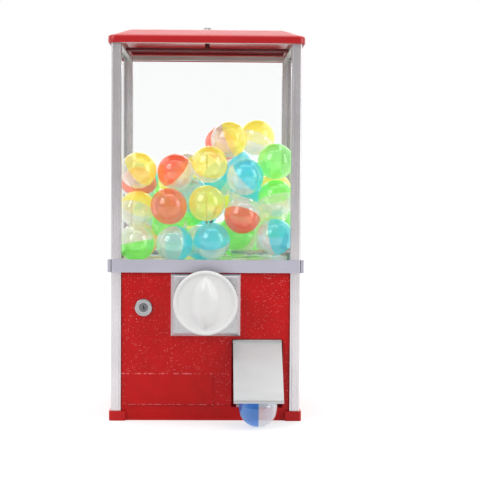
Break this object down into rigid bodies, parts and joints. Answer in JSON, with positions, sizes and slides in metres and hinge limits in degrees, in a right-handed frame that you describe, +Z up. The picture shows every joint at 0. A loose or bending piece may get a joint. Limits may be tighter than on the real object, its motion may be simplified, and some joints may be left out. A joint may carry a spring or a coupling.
{
  "type": "capsule vending machine",
  "caption": "Counter-top coin-operated capsule vending machine: post frame with clear panes, lift-off lid, turn knob, capsule wheel, chute and flap.",
  "frame": {"origin": "centre of the base plate's underside, on the surface the machine stands on", "axes": "+Z up; -Y towards the customer, so the knob and flap face -Y; +X to the customer's right"},
  "size_m": [0.24, 0.304, 0.494],
  "materials": {
    "red_hammertone": "glossy hammertone enamel",
    "red_lid": "gloss enamel",
    "red_base": "gloss enamel",
    "post_aluminium": "bright anodised",
    "band_aluminium": "satin",
    "rail_aluminium": "mill",
    "clear_acrylic": "clear",
    "white_plastic": "gloss",
    "grey_plastic": "matt",
    "cast_silver": "cast, silver lacquer",
    "chrome": "polished",
    "steel": "zinc plated",
    "flap_steel": "satin",
    "brass": "machined",
    "dark_steel": "dark",
    "cup_yellow": "translucent",
    "cup_orange": "translucent",
    "cup_green": "translucent",
    "cup_blue": "translucent",
    "clear_cap": "clear"
  },
  "bodies": {
    "cabinet": {"base_plate": "red_base", "corner_shoes": "red_base", "shoe_screws": "steel", "post_front_left": "post_aluminium", "post_front_right": "post_aluminium", "post_rear_left": "post_aluminium", "post_rear_right": "post_aluminium", "band_front": "band_aluminium", "band_rear": "band_aluminium", "band_left": "band_aluminium", "band_right": "band_aluminium", "top_rails": "rail_aluminium", "pane_front": "clear_acrylic", "pane_rear": "clear_acrylic", "pane_left": "clear_acrylic", "pane_right": "clear_acrylic", "front_panel": "red_hammertone", "panel_left": "red_hammertone", "panel_right": "red_hammertone", "panel_rear": "red_hammertone", "lid_crossbar": "red_lid", "deck": "grey_plastic", "hopper_ring": "grey_plastic", "drop_guard": "steel", "wheel_post": "steel", "thrust_washer": "brass", "coin_plate": "cast_silver", "plate_screws": "steel", "mech_cover": "steel", "coin_guide": "steel", "shaft_bush": "brass", "shaft_bracket": "steel", "cash_box": "steel", "chute": "grey_plastic", "flap_frame": "steel", "hinge_pin": "steel", "lock_body": "chrome", "lock_nut": "steel", "capsule_cups_yellow": "cup_yellow", "capsule_cups_orange": "cup_orange", "capsule_cups_green": "cup_green", "capsule_cups_blue": "cup_blue", "capsule_caps": "clear_cap"},
    "knob": {"knob": "white_plastic", "knob_shaft": "steel", "coin_disc": "steel", "drive_pinion": "brass"},
    "wheel": {"capsule_wheel": "white_plastic", "agitator_hub": "white_plastic", "agitator_rod": "steel", "agitator_finger": "dark_steel"},
    "flap": {"flap": "flap_steel"},
    "served_capsule": {"served_cup": "cup_blue", "served_cap": "clear_cap"},
    "lid": {"lid": "red_lid"},
    "lid_nut": {"lid_nut": "chrome"},
    "lock_plug": {"lock_plug": "chrome", "lock_cam": "steel"}
  },
  "joints": [
    {"name": "knob_turn", "type": "hinge", "parent": "cabinet", "child": "knob", "pos_m": [0, -0.12, 0.147], "axis": [0, 1, 0], "continuous": true},
    {"name": "wheel_turn", "type": "hinge", "parent": "cabinet", "child": "wheel", "pos_m": [0, 0, 0.175], "axis": [0, 0, 1], "continuous": true},
    {"name": "flap_open", "type": "hinge", "parent": "cabinet", "child": "flap", "pos_m": [0.0636, -0.116, 0.0975], "axis": [-1, 0, 0], "range_deg": [-46, 0]},
    {"name": "capsule_roll", "type": "slide", "parent": "cabinet", "child": "served_capsule", "axis": [0, -0.9119, -0.4104], "range_m": [-0.1222, 0]},
    {"name": "lid_lift", "type": "slide", "parent": "cabinet", "child": "lid", "axis": [0, 0, 1], "range_m": [0, 0.08]},
    {"name": "lid_nut_turn", "type": "hinge", "parent": "lid", "child": "lid_nut", "pos_m": [0, 0, 0.49], "axis": [0, 0, 1], "continuous": true},
    {"name": "lock_turn", "type": "hinge", "parent": "cabinet", "child": "lock_plug", "pos_m": [-0.076, -0.117, 0.139], "axis": [0, -1, 0], "range_deg": [0, 90]}
  ],
  "couplings": [
    {"joint": "wheel_turn", "follows": "knob_turn", "ratio": 0.25},
    {"joint": "capsule_roll", "follows": "flap_open", "m_per_rad": 0.15196}
  ]
}
